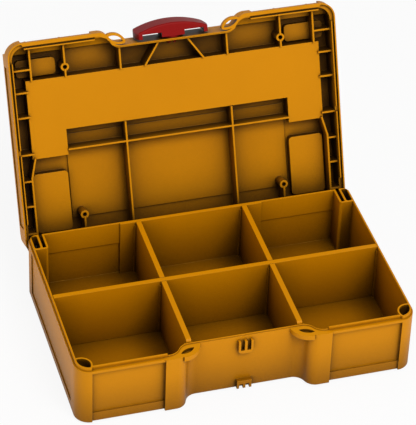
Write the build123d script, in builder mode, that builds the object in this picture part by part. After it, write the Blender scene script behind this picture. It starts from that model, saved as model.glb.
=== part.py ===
from build123d import *
import os
from math import cos, radians, sin

os.makedirs("parts", exist_ok=True)

# Small stackable case with a hinged lid, a turning front latch and lift-out dividers.
# Millimetres, +Z up, front towards -Y. The origin is under the middle of the case,
# at the level of its feet. The lid stands open, as far as the hinge lets it.

# Plan of the case
width = 265.5
front_y = -85.5
base_rear_y = 80.0
lid_rear_y = 83.0
front_corner_r = 12.0
rear_corner_r = 6.5

# Heights
foot_height = 2.0
base_height = 50.0
lid_height = 21.0
rim_gap = 0.2

# Walls of the base
wall = 1.8
floor = 2.4
side_wall = 2.55
front_wall = 4.2
centre_y = -73.5
rear_pad_in = 4.3
rear_pad_x = 58.3
rear_band_in = 2.8
rear_band_height = 17.0
post_in = 11.75
post_y = 65.0
panel_depth = 2.7
flange = 2.2
strip_height = 8.0
strip_depth = 1.5
side_panel_depth = 0.9
side_band_height = 3.5

# Tongue that stands up round the rim of the base
tongue_height = 2.7
tongue_wall = 1.2
tongue_end_x = 63.0
rear_ledge = 1.4
rear_bevel = 1.0
centre_rim_height = 0.8
centre_rim_wall = 0.9

# Front bulges either side of the latch field
bulge_edge_x = 65.0
bulge_flat_x = 56.0
bulge_end_x = 38.0
bulge_out = 1.0
bulge_inner_flat_x = 61.0
bulge_inner_end_x = 44.0
pocket_x = 46.6
pocket_y = -79.1
pocket_length = 12.4
pocket_sag_front = 2.4
pocket_sag_rear = 2.0
pocket_angle = 23.0
pocket_depth = 2.8
collar_flat_x = 51.0
collar_end_x = 35.2
collar_height = 4.0

# Corner wells
well_depth = 44.0
front_well_in = 4.75
front_well_y = -78.7
front_well_r = 8.6
front_well_wall = 1.3
rear_well_in = 13.15
rear_well_y = 60.5
rear_well_wall = 1.6
rear_well_r = 2.5
hollow_r = 1.5
arm_slot = 2.8
slot_opening = 17.0

# Hinge
hinge_y = 76.5
hinge_drop = 7.5
open_angle = 111.4
arm_clearance = 0.3
arm_r = 3.4
arm_root_y = 68.0
arm_root_gap = 10.0
pin_r = 1.5
pin_seat = 1.2
pin_head_r = 2.3
pin_head = 1.1
running_clearance = 0.05

# Dividers
divider_wall = 4.0
long_divider_y = 2.1
short_divider_x = 43.5
divider_rise = 3.0
divider_gap = 0.3
divider_end_r = 2.6
guide_wall = 1.2
guide_depth = 1.4
guide_gap = 0.3

# Lid
lid_top = 2.0
lid_side_wall = 3.6
lid_front_wall = 4.0
lid_flange = 3.9
lid_lip_in = 5.45
lid_lip_height = 5.0
lid_bulge_flat_x = 60.0
lid_bulge_end_x = 42.0
lid_inner_flat_x = 58.5
lid_inner_end_x = 43.5
lid_collar_wall = 2.0
shelf_height = 10.0
shelf_rear_y = -76.0
shelf_rear_height = 13.5
front_top_y = -73.9
shelf_inner_height = 8.2
shelf_inner_rear_y = -74.2
shelf_inner_rear_height = 11.4
front_ceiling_y = -71.9
lid_rear_draft = 4.3
lid_rear_bevel = 5.0
rim_clearance = 0.2
rear_relief = 0.5
rear_relief_depth = 4.0
rib = 1.4
rib_gap = 4.0
plate_gap = 6.5
plate_in = 13.25
plate_front_y = -53.5
plate_notch_y = -11.0
plate_leg_in = 41.95
plate_leg_y = 9.8
rear_seat_gap = 12.5
rear_seat_in = 41.25
rear_seat_y = 24.0
rear_seat_depth = 48.5
front_seat_gap = 13.5
front_seat_in = 39.15
front_seat_width = 31.4
front_seat_y = -68.5
front_seat_depth = 13.5
field_depth = 1.2
field_in = 43.15
field_front_y = -4.0
field_rear_y = 65.0
cross_rib_y = 5.0
boss_r = 3.3
boss_hole_r = 1.7
boss_hole_depth = 11.0
boss_gap = 4.4
front_boss_in = 45.05
front_boss_y = -61.4
rear_boss_in = 50.15
rear_boss_y = 59.8
side_rib_in = 10.95
side_rib_ys = (-45.0, -25.0, 5.0, 26.5, 47.0, 69.5)
corner_rib_in = 17.75
corner_rib_y = -63.0
brace_foot_x = 11.5
brace_top_x = 24.0

# Latch knob and its catch
latch_rise = 11.0
knob_r = 29.5
knob_height = 20.0
knob_lip_y = -75.2
knob_crown_y = -86.0
crown_r = 73.0
knob_wall = 2.2
knob_edge_r = 1.4
hook_r = 26.0
hub_r = 9.8
hub_gap = 0.2
window_in = 9.2
window_out = 24.8
window_depth = 3.8
spigot_r = 4.2
spigot_clearance = 0.1
prong_reach = 3.3
prong_bore_r = 2.2
prong_barb = 0.6
prong_barb_height = 1.6
prong_gap = 2.6
catch_half = 5.8
catch_proud = 3.4
catch_drop = 3.0
catch_clearance = 0.4
catch_corner_r = 3.2
catch_slot = 3.0
catch_bar = 2.0
catch_band = 3.0
lower_catch_top = 42.0
lower_catch_bottom = 49.5
lower_catch_slot = 4.0

# Feet, which stand in the lid's seats when cases are stacked
foot_inset = 0.6
foot_r = 3.0

half = width / 2
post_x = half - post_in
front_well_x = half - front_well_in
rear_well_x = half - rear_well_in
plate_x = half - plate_in
plate_leg_x = half - plate_leg_in
rear_seat_x = half - rear_seat_in
front_seat_x = half - front_seat_in
field_x = half - field_in
front_boss_x = half - front_boss_in
rear_boss_x = half - rear_boss_in
side_rib_x = half - side_rib_in
corner_rib_x = half - corner_rib_in
part_z = foot_height + base_height
floor_z = foot_height + floor
well_z = part_z - well_depth
lid_z = part_z + rim_gap
top_z = part_z + lid_height
ceiling_z = top_z - lid_top
ledge = side_wall - tongue_wall
inner_x = half - side_wall
inner_front_y = front_y + front_wall
inner_centre_y = centre_y + wall
bulge_y = front_y - bulge_out
hinge_z = part_z - hinge_drop
latch_z = part_z + latch_rise
hinge_axis = Axis((0, hinge_y, hinge_z), (-1, 0, 0))
divider_top = part_z + divider_rise


def outline(side, front, rear, centre, bulge, flat_x, end_x, front_r, rear_r):
    """Plan outline with two front bulges, each joined to the centre by an S curve."""
    halfway = ((end_x + flat_x) / 2, (centre + bulge) / 2)
    with BuildLine() as edge:
        middle = Line((0, centre), (end_x, centre))
        inward = TangentArc(middle @ 1, halfway, tangent=(1, 0))
        outward = TangentArc(halfway, (flat_x, bulge), tangent=inward % 1)
        if bulge < front:
            step = Polyline(outward @ 1, (bulge_edge_x, bulge), (bulge_edge_x, front), (side - front_r, front))
        else:
            step = Line(outward @ 1, (side - front_r, front))
        corner = TangentArc(step @ 1, (side, front + front_r), tangent=(1, 0))
        flank = Line(corner @ 1, (side, rear - rear_r))
        back = TangentArc(flank @ 1, (side - rear_r, rear), tangent=(0, 1))
        Line(back @ 1, (0, rear))
        mirror(about=Plane.YZ)
    return edge.edges()


def inner_outline(out):
    """Plan of the base's inside, drawn out into its walls."""
    return outline(
        inner_x + out, inner_front_y - out, base_rear_y - rear_pad_in + out, inner_centre_y - out,
        inner_front_y - out, bulge_inner_flat_x, bulge_inner_end_x, front_corner_r - wall + out, wall + out,
    )


def lid_outline():
    """Plan of the lid."""
    return outline(
        half, front_y, lid_rear_y, centre_y, front_y, lid_bulge_flat_x, lid_bulge_end_x,
        front_corner_r, rear_corner_r,
    )


def rounded_outline(front_in, side_in, rear_in):
    """Plan of the case without its bulges, drawn in from each wall."""
    side = half - side_in
    front = front_y + front_in
    rear = base_rear_y - rear_in
    front_r = front_corner_r - side_in
    rear_r = rear_corner_r - side_in
    with BuildLine() as edge:
        start = Line((0, front), (side - front_r, front))
        corner = TangentArc(start @ 1, (side, front + front_r), tangent=(1, 0))
        flank = Line(corner @ 1, (side, rear - rear_r))
        back = TangentArc(flank @ 1, (side - rear_r, rear), tangent=(0, 1))
        Line(back @ 1, (0, rear))
        mirror(about=Plane.YZ)
    return edge.edges()


def lens(side):
    """Eye-shaped outline of the pocket in the top of a bulge."""
    half_length = pocket_length / 2
    along = (cos(radians(pocket_angle)), sin(radians(pocket_angle)))
    out = (pocket_x + half_length * along[0], pocket_y - half_length * along[1])
    far = (pocket_x - half_length * along[0], pocket_y + half_length * along[1])
    front = (pocket_x - pocket_sag_front * along[1], pocket_y - pocket_sag_front * along[0])
    rear = (pocket_x + pocket_sag_rear * along[1], pocket_y + pocket_sag_rear * along[0])
    with BuildLine() as edge:
        ThreePointArc((side * out[0], out[1]), (side * front[0], front[1]), (side * far[0], far[1]))
        ThreePointArc((side * out[0], out[1]), (side * rear[0], rear[1]), (side * far[0], far[1]))
    return edge.edges()


def collar(side):
    """Plan of the brim round the pocket, which stands out from the curve of the bulge."""
    with BuildLine() as edge:
        front = TangentArc((side * collar_flat_x, bulge_y), (side * collar_end_x, centre_y), tangent=(-side, 0))
        Polyline(
            front @ 1, (side * bulge_inner_end_x, (centre_y + inner_centre_y) / 2),
            (side * collar_flat_x, inner_front_y), front @ 0,
        )
    return edge.edges()


def seat(x_low, y_low, x_size, y_size, inset):
    """Pair of rectangles for the recesses in the lid, or for the feet that stand in them."""
    with BuildSketch() as pair:
        for side in (-1, 1):
            with Locations((side * (x_low + x_size / 2), y_low + y_size / 2)):
                RectangleRounded(x_size - 2 * inset, y_size - 2 * inset, foot_r)
    return pair.sketch


front_seat = (front_seat_x, front_seat_y, front_seat_width, front_seat_depth)
rear_seat = (rear_seat_x, rear_seat_y, plate_x - rear_seat_x, rear_seat_depth)

# Base shell
with BuildPart() as base_shell:
    # Outer block up to the ledge, and the tongue inside it
    with BuildSketch(Plane.XY.offset(foot_height)):
        make_face(
            outline(
                half, front_y, base_rear_y, centre_y, bulge_y, bulge_flat_x, bulge_end_x,
                front_corner_r, rear_corner_r,
            )
        )
    extrude(amount=base_height)
    with BuildSketch(Plane.XY.offset(part_z)):
        make_face(rounded_outline(front_wall - tongue_wall, ledge, rear_ledge))
    extrude(amount=tongue_height)
    # Hollow inside, with a middle pad on the rear wall and a band along its top
    with BuildSketch(Plane.XY.offset(floor_z)):
        make_face(inner_outline(0))
    extrude(amount=base_height + tongue_height, mode=Mode.SUBTRACT)
    for side in (-1, 1):
        with BuildSketch(Plane.XY.offset(floor_z)):
            with Locations((side * (rear_pad_x + rear_well_x) / 2, 0)):
                Rectangle(
                    rear_well_x - rear_pad_x, base_rear_y - rear_band_in, align=(Align.CENTER, Align.MIN)
                )
        extrude(amount=base_height + tongue_height, mode=Mode.SUBTRACT)
        with BuildSketch(Plane.XY.offset(floor_z)):
            with Locations((side * (rear_pad_x + rear_well_x) / 2, 0)):
                Rectangle(rear_well_x - rear_pad_x, base_rear_y - wall, align=(Align.CENTER, Align.MIN))
        extrude(amount=base_height - floor - rear_band_height, mode=Mode.SUBTRACT)
    # No tongue between the bulges, only a low rim round the inside
    centre_depth = inner_centre_y - front_y
    with BuildSketch(Plane.XY.offset(part_z)):
        with Locations((0, front_y)):
            Rectangle(2 * tongue_end_x, centre_depth, align=(Align.CENTER, Align.MIN))
    extrude(amount=tongue_height, mode=Mode.SUBTRACT)
    with BuildSketch(Plane.XY.offset(part_z)):
        make_face(inner_outline(centre_rim_wall))
        make_face(inner_outline(0), mode=Mode.SUBTRACT)
        with Locations((0, front_y)):
            Rectangle(
                2 * tongue_end_x, centre_depth, align=(Align.CENTER, Align.MIN), mode=Mode.INTERSECT
            )
    extrude(amount=centre_rim_height)

    for side in (-1, 1):
        # Front corner well behind the rounded corner
        with BuildSketch(Plane.XY.offset(floor_z)):
            make_face(rounded_outline(0, 0, 0))
            with Locations((side * front_well_x, front_well_y)):
                Circle(front_well_r, mode=Mode.INTERSECT)
        extrude(amount=base_height - floor)
        with BuildSketch(Plane.XY.offset(part_z)):
            make_face(rounded_outline(ledge, ledge, ledge))
            with Locations((side * front_well_x, front_well_y)):
                Circle(front_well_r, mode=Mode.INTERSECT)
        extrude(amount=tongue_height)
        well_inset = ledge + front_well_wall
        with BuildSketch(Plane.XY.offset(well_z)):
            make_face(rounded_outline(well_inset, well_inset, well_inset))
            with Locations((side * front_well_x, front_well_y)):
                Circle(front_well_r - front_well_wall, mode=Mode.INTERSECT)
        extrude(amount=well_depth + tongue_height, mode=Mode.SUBTRACT)
        # Eye-shaped pocket in the bulge, with a brim round its mouth
        with BuildSketch(Plane.XY.offset(part_z - collar_height)):
            make_face(collar(side))
        extrude(amount=collar_height)
        with BuildSketch(Plane.XY.offset(part_z - pocket_depth)):
            make_face(lens(side))
        extrude(amount=pocket_depth, mode=Mode.SUBTRACT)
        # Rear corner post with a hollow and a slot for the hinge arm
        post_width = half - rear_well_x
        post_depth = base_rear_y - rear_well_y
        with BuildSketch(Plane.XY.offset(floor_z)):
            make_face(rounded_outline(0, 0, 0))
            with Locations((side * (rear_well_x + post_width), rear_well_y + post_depth)):
                RectangleRounded(2 * post_width, 2 * post_depth, rear_well_r, mode=Mode.INTERSECT)
        extrude(amount=base_height - floor)
        with BuildSketch(Plane.XY.offset(part_z)):
            make_face(rounded_outline(ledge, ledge, rear_ledge))
            with Locations((side * (rear_well_x + post_width), rear_well_y + post_depth)):
                RectangleRounded(2 * post_width, 2 * post_depth, rear_well_r, mode=Mode.INTERSECT)
        extrude(amount=tongue_height)
        slot_in = rear_well_x + rear_well_wall
        slot_out = slot_in + arm_slot
        hollow_in = slot_out + rear_well_wall
        hollow_out = half - ledge - tongue_wall
        well_front = rear_well_y + rear_well_wall
        well_rear = base_rear_y - rear_ledge - tongue_wall
        with BuildSketch(Plane.XY.offset(well_z)):
            with Locations((side * (slot_in + slot_out) / 2, well_front)):
                Rectangle(arm_slot, well_rear - well_front, align=(Align.CENTER, Align.MIN))
            with Locations((side * (hollow_in + hollow_out) / 2, (well_front + well_rear) / 2)):
                RectangleRounded(hollow_out - hollow_in, well_rear - well_front, hollow_r)
        extrude(amount=well_depth + tongue_height, mode=Mode.SUBTRACT)
        with BuildSketch(Plane.XY.offset(part_z - slot_opening)):
            with Locations((side * (slot_in + slot_out) / 2, well_front)):
                Rectangle(arm_slot, base_rear_y - well_front, align=(Align.CENTER, Align.MIN))
        extrude(amount=slot_opening + tongue_height, mode=Mode.SUBTRACT)
        # Panels sunk into the front and the side, with a strip along the bottom of the front one
        with BuildSketch(Plane.XY.offset(foot_height)):
            with Locations((side * (bulge_edge_x + post_x) / 2, front_y)):
                Rectangle(post_x - bulge_edge_x, 2 * strip_depth)
        extrude(amount=base_height - flange, mode=Mode.SUBTRACT)
        with BuildSketch(Plane.XY.offset(foot_height + strip_height)):
            with Locations((side * (bulge_edge_x + post_x) / 2, front_y)):
                Rectangle(post_x - bulge_edge_x, 2 * panel_depth)
        extrude(amount=base_height - strip_height - flange, mode=Mode.SUBTRACT)
        with BuildSketch(Plane.YZ.offset(side * half)):
            with Locations((0, part_z - side_band_height)):
                Rectangle(
                    2 * post_y, base_height - 2 * side_band_height - flange, align=(Align.CENTER, Align.MAX)
                )
        extrude(amount=side_panel_depth, both=True, mode=Mode.SUBTRACT)

    # Guide ribs for the dividers on the side, front and rear walls
    guide_offset = divider_wall / 2 + guide_gap + guide_wall / 2
    guide_height = part_z - floor_z
    with BuildSketch(Plane.XY.offset(floor_z)):
        for side in (-1, 1):
            for step in (-1, 1):
                with Locations((side * inner_x, long_divider_y + step * guide_offset)):
                    Rectangle(2 * guide_depth, guide_wall)
                guide_x = side * short_divider_x + step * guide_offset
                with Locations((guide_x, base_rear_y - rear_pad_in)):
                    Rectangle(guide_wall, 2 * guide_depth)
                with Locations((guide_x, inner_centre_y)):
                    Rectangle(guide_wall, 2 * guide_depth)
    extrude(amount=guide_height)

    # Bores for the hinge pins, blind in the inner wall of each post
    for side in (-1, 1):
        bore_start = slot_in - pin_seat
        with BuildSketch(Plane.YZ.offset(side * bore_start)):
            with Locations((hinge_y, hinge_z)):
                Circle(pin_r)
        extrude(amount=side * (hollow_in - bore_start), mode=Mode.SUBTRACT)
        with BuildSketch(Plane.YZ.offset(side * hollow_in)):
            with Locations((hinge_y, hinge_z)):
                Circle(pin_head_r + running_clearance)
        extrude(amount=side * (hollow_out - hollow_in), mode=Mode.SUBTRACT)

    # Upper catch: a frame with two slots and a rounded lower end, centred on the latch's hub
    with BuildSketch(Plane.XZ.offset(-centre_y)):
        with Locations((0, latch_z)):
            Circle(hook_r - catch_clearance)
        with Locations((0, part_z - catch_drop)):
            Rectangle(2 * catch_half, hook_r, align=(Align.CENTER, Align.MAX), mode=Mode.INTERSECT)
        fillet(vertices().group_by(Axis.Y)[0], radius=catch_corner_r)
        slot_height = hook_r - catch_clearance - latch_rise - catch_drop - catch_band
        for step in (-1, 1):
            with Locations((step * (catch_bar + catch_slot) / 2, part_z - catch_drop)):
                Rectangle(catch_slot, slot_height, align=(Align.CENTER, Align.MAX), mode=Mode.SUBTRACT)
    extrude(amount=catch_proud)
    # Lower catch for the case underneath: a shelf with three teeth
    with BuildSketch(Plane.XZ.offset(-centre_y)):
        with Locations((0, part_z - lower_catch_top)):
            Rectangle(
                2 * catch_half, lower_catch_bottom - lower_catch_top, align=(Align.CENTER, Align.MAX)
            )
        for step in (-1, 1):
            with Locations((step * (catch_bar + catch_slot) / 2, part_z - lower_catch_bottom)):
                Rectangle(
                    catch_slot, lower_catch_slot, align=(Align.CENTER, Align.MIN), mode=Mode.SUBTRACT
                )
    extrude(amount=catch_proud)

    # Feet under the shell, placed and sized by the seats in the lid
    with BuildSketch():
        add(seat(*front_seat, wall + foot_inset))
        add(seat(*rear_seat, wall + foot_inset))
    extrude(amount=foot_height)
    # Bevel behind the rear ledge, where the lid turns past it
    with BuildSketch(Plane.YZ.offset(-half)):
        with BuildLine():
            Polyline(
                (base_rear_y - rear_bevel, part_z), (base_rear_y, part_z), (base_rear_y, part_z - rear_bevel),
                close=True,
            )
        make_face()
    extrude(amount=width, mode=Mode.SUBTRACT)

base_shell.part.label = "base_shell"
export_step(base_shell.part, "parts/base_shell.step")

# Lid, drawn shut and then swung open about its hinge
with BuildPart() as lid_shut:
    with BuildSketch(Plane.XY.offset(lid_z)):
        make_face(lid_outline())
    extrude(amount=top_z - lid_z)
    # Hollow inside
    with BuildSketch(Plane.XY.offset(lid_z)):
        make_face(
            outline(
                half - lid_side_wall, front_y + lid_front_wall, lid_rear_y - wall, inner_centre_y,
                front_y + lid_front_wall, lid_inner_flat_x, lid_inner_end_x,
                front_corner_r - wall, rear_corner_r - wall,
            )
        )
    extrude(amount=ceiling_z - lid_z, mode=Mode.SUBTRACT)
    # Front stepped back above a shelf, with its wall drawn in behind it
    with BuildPart():
        with BuildSketch(Plane.XY.offset(lid_z)):
            make_face(lid_outline())
        extrude(amount=top_z - lid_z)
        with BuildSketch(Plane.YZ.offset(-half + wall)):
            with BuildLine():
                Polyline(
                    (front_y + lid_front_wall, part_z + shelf_inner_height),
                    (shelf_inner_rear_y, part_z + shelf_inner_rear_height), (front_ceiling_y, ceiling_z),
                    (front_y + wall, ceiling_z), (front_y + wall, part_z + shelf_inner_height), close=True,
                )
            make_face()
        extrude(amount=width - 2 * wall, mode=Mode.INTERSECT)
    with BuildSketch(Plane.YZ.offset(-half)):
        with BuildLine():
            Polyline(
                (front_y, part_z + shelf_height), (shelf_rear_y, part_z + shelf_rear_height),
                (front_top_y, top_z), (front_y, top_z), close=True,
            )
        make_face()
    extrude(amount=width, mode=Mode.SUBTRACT)
    # Leaning rear wall with a bevel along its top
    with BuildSketch(Plane.YZ.offset(-half + wall)):
        with BuildLine():
            Polyline(
                (lid_rear_y - wall, lid_z), (lid_rear_y - wall - lid_rear_draft, ceiling_z),
                (lid_rear_y - wall / 2, ceiling_z), (lid_rear_y - wall / 2, lid_z), close=True,
            )
        make_face()
    extrude(amount=width - 2 * wall)
    with BuildSketch(Plane.YZ.offset(-half)):
        with BuildLine():
            Polyline(
                (lid_rear_y, lid_z), (lid_rear_y - lid_rear_draft, ceiling_z),
                (lid_rear_y - lid_rear_draft - lid_rear_bevel, top_z), (lid_rear_y, top_z), close=True,
            )
        make_face()
    extrude(amount=width, mode=Mode.SUBTRACT)

    # Ribs under the top
    rear_inside_y = lid_rear_y - wall
    side_inside_x = half - lid_side_wall
    lid_inner_front_y = front_y + lid_front_wall - rib / 2
    with BuildSketch(Plane.XY.offset(part_z + rib_gap)):
        with BuildLine():
            Line((-plate_leg_x, cross_rib_y), (plate_leg_x, cross_rib_y))
            for side in (-1, 1):
                Line((side * short_divider_x, plate_notch_y), (side * short_divider_x, rear_inside_y))
                Line((side * short_divider_x, plate_front_y), (side * short_divider_x, inner_centre_y - rib / 2))
                Line((side * brace_foot_x, inner_centre_y), (side * brace_top_x, plate_front_y))
                Line((side * front_boss_x, plate_front_y), (side * front_boss_x, lid_inner_front_y))
                Line((side * rear_boss_x, rear_boss_y), (side * rear_boss_x, rear_inside_y))
                Line((side * corner_rib_x, plate_front_y), (side * corner_rib_x, lid_inner_front_y))
                Line((side * corner_rib_x, corner_rib_y), (side * side_inside_x, corner_rib_y))
                Line((side * (plate_x - wall), plate_leg_y - rib), (side * side_rib_x, rear_seat_y))
                Line((side * side_rib_x, rear_seat_y), (side * side_rib_x, rear_seat_y + rear_seat_depth))
                for rib_y in side_rib_ys:
                    rib_x = plate_x - rib if rib_y < rear_seat_y else side_rib_x
                    Line((side * rib_x, rib_y), (side * side_inside_x, rib_y))
        trace(line_width=rib)
    extrude(amount=ceiling_z - part_z - rib_gap)

    # Sunk fields of the top: a wide U, four seats for the feet above and a shallow label field
    with BuildSketch(Plane.XY.offset(part_z + plate_gap)) as plate:
        with BuildLine():
            Polyline(
                (0, plate_front_y), (plate_x, plate_front_y), (plate_x, plate_leg_y),
                (plate_leg_x, plate_leg_y), (plate_leg_x, plate_notch_y), (0, plate_notch_y),
            )
            mirror(about=Plane.YZ)
        make_face()
    extrude(amount=ceiling_z - part_z - plate_gap)
    with BuildSketch(Plane.XY.offset(part_z + plate_gap + lid_top)):
        add(plate.sketch_local)
        offset(amount=-wall, mode=Mode.REPLACE)
    extrude(amount=lid_height, mode=Mode.SUBTRACT)
    for area, gap in ((front_seat, front_seat_gap), (rear_seat, rear_seat_gap)):
        with BuildSketch(Plane.XY.offset(part_z + gap)):
            add(seat(*area, 0))
        extrude(amount=ceiling_z - part_z - gap)
        with BuildSketch(Plane.XY.offset(part_z + gap + lid_top)):
            add(seat(*area, wall))
        extrude(amount=lid_height, mode=Mode.SUBTRACT)
    field_y = (field_front_y + field_rear_y) / 2
    with BuildSketch(Plane.XY.offset(ceiling_z - field_depth)):
        with Locations((0, field_y)):
            Rectangle(2 * field_x, field_rear_y - field_front_y)
    extrude(amount=field_depth)
    with BuildSketch(Plane.XY.offset(top_z - field_depth)):
        with Locations((0, field_y)):
            Rectangle(2 * (field_x - wall), field_rear_y - field_front_y - 2 * wall)
    extrude(amount=field_depth, mode=Mode.SUBTRACT)

    # Screw bosses
    with BuildSketch(Plane.XY.offset(part_z + boss_gap)):
        for side in (-1, 1):
            with Locations((side * front_boss_x, front_boss_y), (side * rear_boss_x, rear_boss_y)):
                Circle(boss_r)
    extrude(amount=ceiling_z - part_z - boss_gap)
    with BuildSketch(Plane.XY.offset(part_z)):
        for side in (-1, 1):
            with Locations((side * front_boss_x, front_boss_y), (side * rear_boss_x, rear_boss_y)):
                Circle(boss_hole_r)
    extrude(amount=boss_gap + boss_hole_depth, mode=Mode.SUBTRACT)

    # Room for the tongue: grooves in the sides, and relief over the corner wells and posts
    groove_height = tongue_height + rim_clearance
    free_ledge = ledge - rim_clearance
    with BuildSketch(Plane.XY.offset(lid_z)):
        make_face(rounded_outline(free_ledge, free_ledge, rear_ledge))
        Rectangle(2 * (inner_x - rim_clearance), width, mode=Mode.SUBTRACT)
    extrude(amount=groove_height, mode=Mode.SUBTRACT)
    front_groove_in = tongue_end_x - rim_clearance
    front_groove_out = front_well_x - front_well_r / 2
    for side in (-1, 1):
        with BuildSketch(Plane.XY.offset(lid_z)):
            with Locations((side * (front_groove_in + front_well_x - front_well_r) / 2, front_y + lid_lip_in)):
                Rectangle(
                    front_well_x - front_well_r - front_groove_in, lid_lip_in - wall,
                    align=(Align.CENTER, Align.MAX),
                )
        extrude(amount=lid_lip_height)
        with BuildSketch(Plane.XY.offset(lid_z)):
            with Locations((side * (front_groove_in + front_groove_out) / 2, inner_front_y + rim_clearance)):
                Rectangle(
                    front_groove_out - front_groove_in, tongue_wall + 2 * rim_clearance,
                    align=(Align.CENTER, Align.MAX),
                )
        extrude(amount=groove_height, mode=Mode.SUBTRACT)
        with BuildSketch(Plane.XY.offset(lid_z)):
            make_face(rounded_outline(free_ledge, free_ledge, rear_ledge))
            with Locations((side * front_well_x, front_well_y)):
                Circle(front_well_r + rim_clearance, mode=Mode.INTERSECT)
        extrude(amount=groove_height, mode=Mode.SUBTRACT)
        with BuildSketch(Plane.XY.offset(lid_z)):
            make_face(rounded_outline(free_ledge, free_ledge, free_ledge - rear_bevel))
            with Locations((side * (rear_well_x - rim_clearance), rear_well_y - rim_clearance)):
                Rectangle(
                    2 * post_width, 2 * post_depth,
                    align=(Align.MIN if side > 0 else Align.MAX, Align.MIN), mode=Mode.INTERSECT,
                )
        extrude(amount=rear_relief_depth, mode=Mode.SUBTRACT)
    # Room for the low rim between the bulges, and for the ends of the long divider
    with BuildSketch(Plane.XY.offset(lid_z)):
        make_face(inner_outline(centre_rim_wall + rim_clearance))
        with Locations((0, front_y)):
            Rectangle(
                2 * (tongue_end_x + rim_clearance), centre_depth + wall,
                align=(Align.CENTER, Align.MIN), mode=Mode.INTERSECT,
            )
    extrude(amount=centre_rim_height, mode=Mode.SUBTRACT)
    with BuildSketch(Plane.XY.offset(lid_z)):
        with Locations((0, long_divider_y)):
            Rectangle(2 * inner_x, divider_wall + 2 * guide_gap)
    extrude(amount=divider_rise, mode=Mode.SUBTRACT)
    with BuildSketch(Plane.XY.offset(lid_z)):
        with Locations((0, hinge_y)):
            Rectangle(width, 2 * rear_relief_depth)
    extrude(amount=rear_relief, mode=Mode.SUBTRACT)

    for side in (-1, 1):
        # Eye-shaped ring in front of the bulge's curve, open right through
        with BuildSketch(Plane.XY.offset(lid_z)):
            make_face(lens(side))
            offset(amount=lid_collar_wall)
        extrude(amount=collar_height)
        with BuildSketch(Plane.XY.offset(lid_z)):
            make_face(lens(side))
        extrude(amount=collar_height, mode=Mode.SUBTRACT)
        # Panels sunk into the front and the side
        with BuildSketch(Plane.XY.offset(lid_z + lid_flange)):
            with Locations((side * (bulge_edge_x + post_x) / 2, front_y)):
                Rectangle(post_x - bulge_edge_x, 2 * panel_depth)
        extrude(amount=lid_height, mode=Mode.SUBTRACT)
        with BuildSketch(Plane.YZ.offset(side * half)):
            with Locations((0, lid_z + side_band_height)):
                Rectangle(
                    2 * post_y, lid_height - 2 * side_band_height, align=(Align.CENTER, Align.MIN)
                )
        extrude(amount=side_panel_depth, both=True, mode=Mode.SUBTRACT)
        # Hinge arm, down through the slot of the post to the pin
        with BuildSketch(Plane.YZ.offset(side * (slot_in + arm_clearance))):
            with BuildLine():
                Polyline(
                    (hinge_y - arm_r, hinge_z), (hinge_y - arm_r, lid_z + rib_gap),
                    (arm_root_y, part_z + arm_root_gap), (arm_root_y, ceiling_z),
                    (lid_rear_y - wall - lid_rear_draft, ceiling_z), (lid_rear_y - wall, lid_z + rib_gap),
                    (lid_rear_y - wall, lid_z), (hinge_y + arm_r, hinge_z), close=True,
                )
            make_face()
            with Locations((hinge_y, hinge_z)):
                Circle(arm_r)
                Circle(pin_r + running_clearance, mode=Mode.SUBTRACT)
        extrude(amount=side * (arm_slot - 2 * arm_clearance))

    # Bore for the latch's spigot
    with BuildSketch(Plane.XZ.offset(-inner_centre_y)):
        with Locations((0, latch_z)):
            Circle(spigot_r + spigot_clearance)
    extrude(amount=wall, mode=Mode.SUBTRACT)

with BuildPart() as lid_shell:
    add(lid_shut.part.rotate(hinge_axis, open_angle))
lid_shell.part.label = "lid_shell"
export_step(lid_shell.part, "parts/lid_shell.step")

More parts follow.
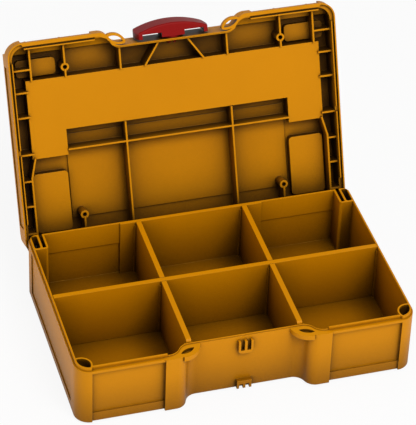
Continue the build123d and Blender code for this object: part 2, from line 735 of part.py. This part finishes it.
# Latch knob, drawn on the shut lid: a crowned, hollow bar that turns on a snapped-in spigot
with BuildPart() as knob_shut:
    with BuildSketch(Plane.XZ.offset(-knob_lip_y)):
        with Locations((0, latch_z)):
            Circle(knob_r)
            Rectangle(2 * knob_r, knob_height, mode=Mode.INTERSECT)
    extrude(amount=knob_lip_y - knob_crown_y)
    with BuildSketch(Plane.XY.offset(latch_z)):
        with Locations((0, knob_crown_y + crown_r)):
            Circle(crown_r)
    extrude(amount=knob_r, both=True, mode=Mode.INTERSECT)
    crown_face = faces().filter_by(GeomType.CYLINDER).sort_by(Axis.Y)[0]
    fillet(crown_face.edges(), radius=knob_edge_r)
    # Hollow, rounded at its ends to pass round the catch
    with BuildPart(mode=Mode.SUBTRACT):
        with BuildSketch(Plane.XZ.offset(-knob_lip_y)):
            with Locations((0, latch_z)):
                Circle(hook_r)
                Rectangle(2 * hook_r, knob_height - 2 * knob_wall, mode=Mode.INTERSECT)
        extrude(amount=knob_lip_y - knob_crown_y)
        with BuildSketch(Plane.XY.offset(latch_z)):
            with Locations((0, knob_crown_y + crown_r)):
                Circle(crown_r - knob_wall)
        extrude(amount=knob_r, both=True, mode=Mode.INTERSECT)
    # Windows in both long sides, which let the catch through as the knob turns
    with BuildSketch(Plane.XZ.offset(-knob_lip_y)):
        for side in (-1, 1):
            with Locations((side * (window_in + window_out) / 2, latch_z)):
                Rectangle(window_out - window_in, knob_height)
    extrude(amount=window_depth, mode=Mode.SUBTRACT)
    # Hub against the lid, and the spigot through it with two barbed prongs
    with BuildSketch(Plane.XZ.offset(-centre_y + hub_gap)):
        with Locations((0, latch_z)):
            Circle(hub_r)
    extrude(amount=centre_y - hub_gap - knob_crown_y - knob_wall)
    with BuildSketch(Plane.XZ.offset(-inner_centre_y - prong_reach)):
        with Locations((0, latch_z)):
            Circle(spigot_r)
    extrude(amount=prong_reach + wall + hub_gap)
    with BuildSketch(Plane.XZ.offset(-inner_centre_y - hub_gap - prong_barb_height)):
        with Locations((0, latch_z)):
            Circle(spigot_r + prong_barb)
    extrude(amount=prong_barb_height)
    with BuildSketch(Plane.XZ.offset(-inner_centre_y - prong_reach)):
        with Locations((0, latch_z)):
            Circle(prong_bore_r)
            Rectangle(prong_gap, 2 * (spigot_r + prong_barb))
    extrude(amount=prong_reach, mode=Mode.SUBTRACT)

with BuildPart() as latch_knob:
    add(knob_shut.part.rotate(hinge_axis, open_angle))
latch_knob.part.label = "latch_knob"
export_step(latch_knob.part, "parts/latch_knob.step")

# Hinge pins, headed in the hollows of the rear posts
with BuildPart() as hinge_pin_right:
    with BuildSketch(Plane.YZ.offset(bore_start)):
        with Locations((hinge_y, hinge_z)):
            Circle(pin_r)
    extrude(amount=hollow_in - bore_start)
    with BuildSketch(Plane.YZ.offset(hollow_in)):
        with Locations((hinge_y, hinge_z)):
            Circle(pin_head_r)
    extrude(amount=pin_head)
hinge_pin_right.part.label = "hinge_pin_right"
export_step(hinge_pin_right.part, "parts/hinge_pin_right.step")

with BuildPart() as hinge_pin_left:
    add(hinge_pin_right.part)
    mirror(about=Plane.YZ, mode=Mode.REPLACE)
hinge_pin_left.part.label = "hinge_pin_left"
export_step(hinge_pin_left.part, "parts/hinge_pin_left.step")

# Long divider, with guide ribs for the short ones
divider_z = floor_z + divider_gap
with BuildPart() as long_divider:
    with BuildSketch(Plane.XY.offset(divider_z)):
        with Locations((0, long_divider_y)):
            Rectangle(2 * (inner_x - divider_gap), divider_wall)
    extrude(amount=divider_top - divider_z)
    with BuildSketch(Plane.XY.offset(divider_z)):
        for side in (-1, 1):
            for step in (-1, 1):
                with Locations((side * short_divider_x + step * guide_offset, long_divider_y)):
                    Rectangle(guide_wall, divider_wall + 2 * guide_depth)
    extrude(amount=part_z - divider_z)
long_divider.part.label = "long_divider"
export_step(long_divider.part, "parts/long_divider.step")

# Short dividers, behind and in front of the long one
rear_span = (long_divider_y + divider_wall / 2 + divider_gap, base_rear_y - rear_pad_in - divider_gap)
front_span = (inner_centre_y + divider_gap, long_divider_y - divider_wall / 2 - divider_gap)
for row, span in (("rear", rear_span), ("front", front_span)):
    for name, side in (("left", -1), ("right", 1)):
        with BuildPart() as short_divider:
            with BuildSketch(Plane.YZ.offset(side * short_divider_x)):
                with BuildLine():
                    Polyline(
                        (span[0], divider_z), (span[1], divider_z), (span[1], divider_top),
                        (span[0], divider_top), close=True,
                    )
                make_face()
                if row == "front":
                    fillet(vertices().sort_by(Axis.X)[:2].sort_by(Axis.Y)[-1], radius=divider_end_r)
            extrude(amount=divider_wall / 2, both=True)
        short_divider.part.label = f"{row}_divider_{name}"
        export_step(short_divider.part, f"parts/{row}_divider_{name}.step")
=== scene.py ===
from math import radians

import bmesh
import bpy
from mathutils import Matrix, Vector

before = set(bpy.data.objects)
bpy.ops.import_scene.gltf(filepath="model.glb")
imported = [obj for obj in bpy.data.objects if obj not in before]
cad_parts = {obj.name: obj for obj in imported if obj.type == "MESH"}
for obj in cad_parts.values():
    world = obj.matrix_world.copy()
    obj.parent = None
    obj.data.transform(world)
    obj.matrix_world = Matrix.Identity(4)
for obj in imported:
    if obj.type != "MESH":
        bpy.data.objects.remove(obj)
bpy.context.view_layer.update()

# Camera: the case is seen from above its left front corner, with a long lens from 2 metres away.
# The lens is centred, so nothing is shifted.
camera = bpy.data.objects.new("camera", bpy.data.cameras.new("camera"))
bpy.context.scene.collection.objects.link(camera)
camera.location = (-0.45732, -1.42327, 1.28422)
camera.rotation_euler = (radians(51.901), radians(-1.763), radians(-16.063))
camera.data.lens = 212.48
camera.data.sensor_width = 36.0
bpy.context.scene.camera = camera
bpy.context.scene.view_settings.view_transform = "Standard"


def linear(hex_colour, alpha=1.0):
    """sRGB hex colour as linear values."""
    values = [int(hex_colour[i:i + 2], 16) / 255 for i in (1, 3, 5)]
    return tuple(v / 12.92 if v <= 0.04045 else ((v + 0.055) / 1.055) ** 2.4 for v in values) + (alpha,)


def add_node(tree, kind, inputs=None, **settings):
    """Adds a shader node, sets its properties, and sets or links its inputs."""
    node = tree.nodes.new(kind)
    for name, value in settings.items():
        setattr(node, name, value)
    for name, value in (inputs or {}).items():
        if isinstance(value, bpy.types.NodeSocket):
            tree.links.new(value, node.inputs[name])
        else:
            node.inputs[name].default_value = value
    return node


def new_tree(owner):
    """Empties the node tree of a material or world."""
    owner.use_nodes = True
    owner.node_tree.nodes.clear()
    return owner.node_tree


# Floor: a wide sheet of white card, matt and uncoated. The camera and polished surfaces see it as
# near white, and it keeps a faint soft shadow of the case.
floor_radius = 6.0
fibre_size = 0.0025
white_share = 0.9
floor_mesh = bpy.data.meshes.new("floor")
floor_form = bmesh.new()
bmesh.ops.create_circle(floor_form, cap_ends=True, segments=96, radius=floor_radius)
floor_form.to_mesh(floor_mesh)
floor_form.free()
floor = bpy.data.objects.new("floor", floor_mesh)
bpy.context.scene.collection.objects.link(floor)
card = bpy.data.materials.new("white_card")
tree = new_tree(card)
place = add_node(tree, "ShaderNodeTexCoord")
fibre = add_node(
    tree, "ShaderNodeTexNoise", {"Vector": place.outputs["Object"], "Scale": 1 / fibre_size, "Detail": 2.0}
)
fibre_bump = add_node(tree, "ShaderNodeBump", {"Height": fibre.outputs["Fac"], "Distance": 0.00005})
matt = add_node(
    tree, "ShaderNodeBsdfDiffuse", {"Color": linear("#F4F4F2"), "Normal": fibre_bump.outputs["Normal"]}
)
bright = add_node(tree, "ShaderNodeEmission", {"Color": linear("#FFFFFF"), "Strength": 1.0})
ray = add_node(tree, "ShaderNodeLightPath")
seen = add_node(
    tree, "ShaderNodeMath", {0: ray.outputs["Is Camera Ray"], 1: ray.outputs["Is Glossy Ray"]},
    operation="MAXIMUM",
)
seen = add_node(
    tree, "ShaderNodeMath", {0: seen.outputs[0], 1: ray.outputs["Is Transmission Ray"]}, operation="MAXIMUM"
)
share = add_node(tree, "ShaderNodeMath", {0: seen.outputs[0], 1: white_share}, operation="MULTIPLY")
surface = add_node(
    tree, "ShaderNodeMixShader", {0: share.outputs[0], 1: matt.outputs[0], 2: bright.outputs[0]}
)
add_node(tree, "ShaderNodeOutputMaterial", {"Surface": surface.outputs[0]})
floor.data.materials.append(card)

# Light: a plain pale room, one large soft panel in front and above, a little to the right, and a
# weaker one on the left
room_strength = 0.32
panel_size = 1.2
world = bpy.data.worlds.new("room")
bpy.context.scene.world = world
tree = new_tree(world)
room = add_node(tree, "ShaderNodeBackground", {"Color": linear("#F7F8FA"), "Strength": room_strength})
backdrop = add_node(tree, "ShaderNodeBackground", {"Color": linear("#FFFFFF"), "Strength": 1.0})
ray = add_node(tree, "ShaderNodeLightPath")
surface = add_node(
    tree, "ShaderNodeMixShader", {0: ray.outputs["Is Camera Ray"], 1: room.outputs[0], 2: backdrop.outputs[0]}
)
add_node(tree, "ShaderNodeOutputWorld", {"Surface": surface.outputs[0]})
case_middle = Vector((0.0, 0.0, 0.06))
for name, spot, power in (
    ("panel_front", (0.35, -1.35, 1.75), 32.0),
    ("panel_left", (-1.5, 0.2, 1.3), 4.0),
):
    lamp = bpy.data.lights.new(name, "AREA")
    lamp.shape = "DISK"
    lamp.size = panel_size
    lamp.energy = power
    panel = bpy.data.objects.new(name, lamp)
    bpy.context.scene.collection.objects.link(panel)
    panel.location = spot
    panel.rotation_euler = (case_middle - Vector(spot)).to_track_quat("-Z", "Y").to_euler()


# Base: ABS, injection moulded in a spark-eroded mould. That gives a fine, even, matt grain, slightly
# rounded edges, and amber colour right through. Edges that are handled go paler and smoother.
grain_size = 0.0005
edge_radius = 0.0005
patch_size = 0.00625
shade_reach = 0.06
amber = "#DD8E00"
rubbed_amber = "#E8A01E"


def moulded_abs(name, hex_colour, hex_rubbed, roughness, seed):
    material = bpy.data.materials.new(name)
    tree = new_tree(material)
    place = add_node(tree, "ShaderNodeTexCoord")
    here = add_node(
        tree, "ShaderNodeMapping", {"Vector": place.outputs["Object"], "Location": (seed, 0.37 * seed, 0.0)}
    ).outputs[0]
    # Flow of the melt: soft patches about 45 mm across, barely darker or paler than the rest
    flow = add_node(tree, "ShaderNodeTexNoise", {"Vector": here, "Scale": 22.0, "Detail": 2.0})
    tone = add_node(
        tree, "ShaderNodeMapRange", {"Value": flow.outputs["Fac"], "To Min": 0.94, "To Max": 1.05}
    )
    # Spark grain: pits about 0.1 mm across in the real mould, drawn at 0.5 mm so that they show
    grain = add_node(tree, "ShaderNodeTexNoise", {"Vector": here, "Scale": 1 / grain_size, "Detail": 1.5})
    # Soft edges of 0.5 mm radius, as the mould leaves them
    soft = add_node(tree, "ShaderNodeBevel", {"Radius": edge_radius}, samples=6)
    bump = add_node(
        tree, "ShaderNodeBump",
        {"Height": grain.outputs["Fac"], "Distance": 0.00006, "Strength": 0.5, "Normal": soft.outputs[0]},
    )
    # Rubbed edges: where the soft edge turns away from the flat face, broken up by 6 mm patches
    true_face = add_node(tree, "ShaderNodeNewGeometry")
    turned = add_node(
        tree, "ShaderNodeVectorMath", {0: soft.outputs[0], 1: true_face.outputs["Normal"]},
        operation="DOT_PRODUCT",
    )
    edge = add_node(
        tree, "ShaderNodeMapRange",
        {"Value": turned.outputs["Value"], "From Min": 0.99, "From Max": 0.75, "To Min": 0.0, "To Max": 1.0},
    )
    patches = add_node(tree, "ShaderNodeTexNoise", {"Vector": here, "Scale": 1 / patch_size, "Detail": 3.0})
    wear = add_node(
        tree, "ShaderNodeMapRange",
        {"Value": patches.outputs["Fac"], "From Min": 0.35, "From Max": 0.75, "To Max": 0.6},
    )
    rubbed = add_node(tree, "ShaderNodeMath", {0: edge.outputs[0], 1: wear.outputs[0]}, operation="MULTIPLY")
    # Painted shade: an occlusion mask darkens the base colour in deep places, in place of the light that
    # reaches them only off other amber walls
    open_sky = add_node(tree, "ShaderNodeAmbientOcclusion", {"Distance": shade_reach}, samples=8)
    painted_shade = add_node(
        tree, "ShaderNodeMapRange",
        {"Value": open_sky.outputs["AO"], "From Min": 0.3, "From Max": 0.88, "To Min": 0.08, "To Max": 1.0},
    )
    tone_and_painted_shade = add_node(tree, "ShaderNodeMath", {0: tone.outputs[0], 1: painted_shade.outputs[0]}, operation="MULTIPLY")
    coloured = add_node(
        tree, "ShaderNodeVectorMath", {0: linear(hex_colour)[:3], "Scale": tone_and_painted_shade.outputs[0]},
        operation="SCALE",
    )
    mixed = add_node(
        tree, "ShaderNodeMix", {0: rubbed.outputs[0], 6: coloured.outputs[0], 7: linear(hex_rubbed)},
        data_type="RGBA",
    )
    gloss = add_node(
        tree, "ShaderNodeMapRange",
        {"Value": rubbed.outputs[0], "To Min": roughness, "To Max": roughness - 0.12},
    )
    shader = add_node(
        tree, "ShaderNodeBsdfPrincipled",
        {
            "Base Color": mixed.outputs[2], "Roughness": gloss.outputs[0], "IOR": 1.54,
            "Normal": bump.outputs[0], "Specular IOR Level": 0.1,
        },
    )
    add_node(tree, "ShaderNodeOutputMaterial", {"Surface": shader.outputs[0]})
    return material


def finish_node(name, material):
    """Gives every material slot of a CAD node the same finish."""
    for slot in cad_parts[name].material_slots:
        slot.material = material


finish_node("base_shell", moulded_abs("amber_abs_base", amber, rubbed_amber, 0.46, 0.0))

# Lid: the same amber ABS from a second mould. It leans back on its arms and shows its ribs, bosses
# and sunk fields.
finish_node("lid_shell", moulded_abs("amber_abs_lid", amber, rubbed_amber, 0.46, 3.1))

# Dividers: flat amber ABS plates, which slide in and out of their guides and so are rubbed along their edges.
for number, name in enumerate(
    ("long_divider", "rear_divider_left", "rear_divider_right", "front_divider_left", "front_divider_right")
):
    finish_node(name, moulded_abs("amber_abs_" + name, amber, rubbed_amber, 0.44, 5.3 + number))

# Latch knob: dark red ABS, moulded with the same matt grain as the case. Fingers turn it, so its
# edges are rubbed paler.
finish_node("latch_knob", moulded_abs("red_abs_knob", "#930F0C", "#A8281F", 0.48, 11.7))

# Hinge pins: steel wire, cut and headed, then blackened in hot oxide. It keeps the fine drawn lines
# of the wire, which run along the pin.
for name in ("hinge_pin_left", "hinge_pin_right"):
    blackened = bpy.data.materials.new("black_oxide_steel_" + name)
    tree = new_tree(blackened)
    place = add_node(tree, "ShaderNodeTexCoord")
    drawn = add_node(
        tree, "ShaderNodeMapping", {"Vector": place.outputs["Object"], "Scale": (40.0, 2500.0, 2500.0)}
    )
    lines = add_node(tree, "ShaderNodeTexNoise", {"Vector": drawn.outputs[0], "Scale": 1.0, "Detail": 2.0})
    rough = add_node(
        tree, "ShaderNodeMapRange", {"Value": lines.outputs["Fac"], "To Min": 0.38, "To Max": 0.52}
    )
    bump = add_node(tree, "ShaderNodeBump", {"Height": lines.outputs["Fac"], "Distance": 0.00002})
    shader = add_node(
        tree, "ShaderNodeBsdfPrincipled",
        {
            "Base Color": linear("#38332E"), "Metallic": 1.0, "Roughness": rough.outputs[0],
            "Normal": bump.outputs[0],
        },
    )
    add_node(tree, "ShaderNodeOutputMaterial", {"Surface": shader.outputs[0]})
    finish_node(name, blackened)
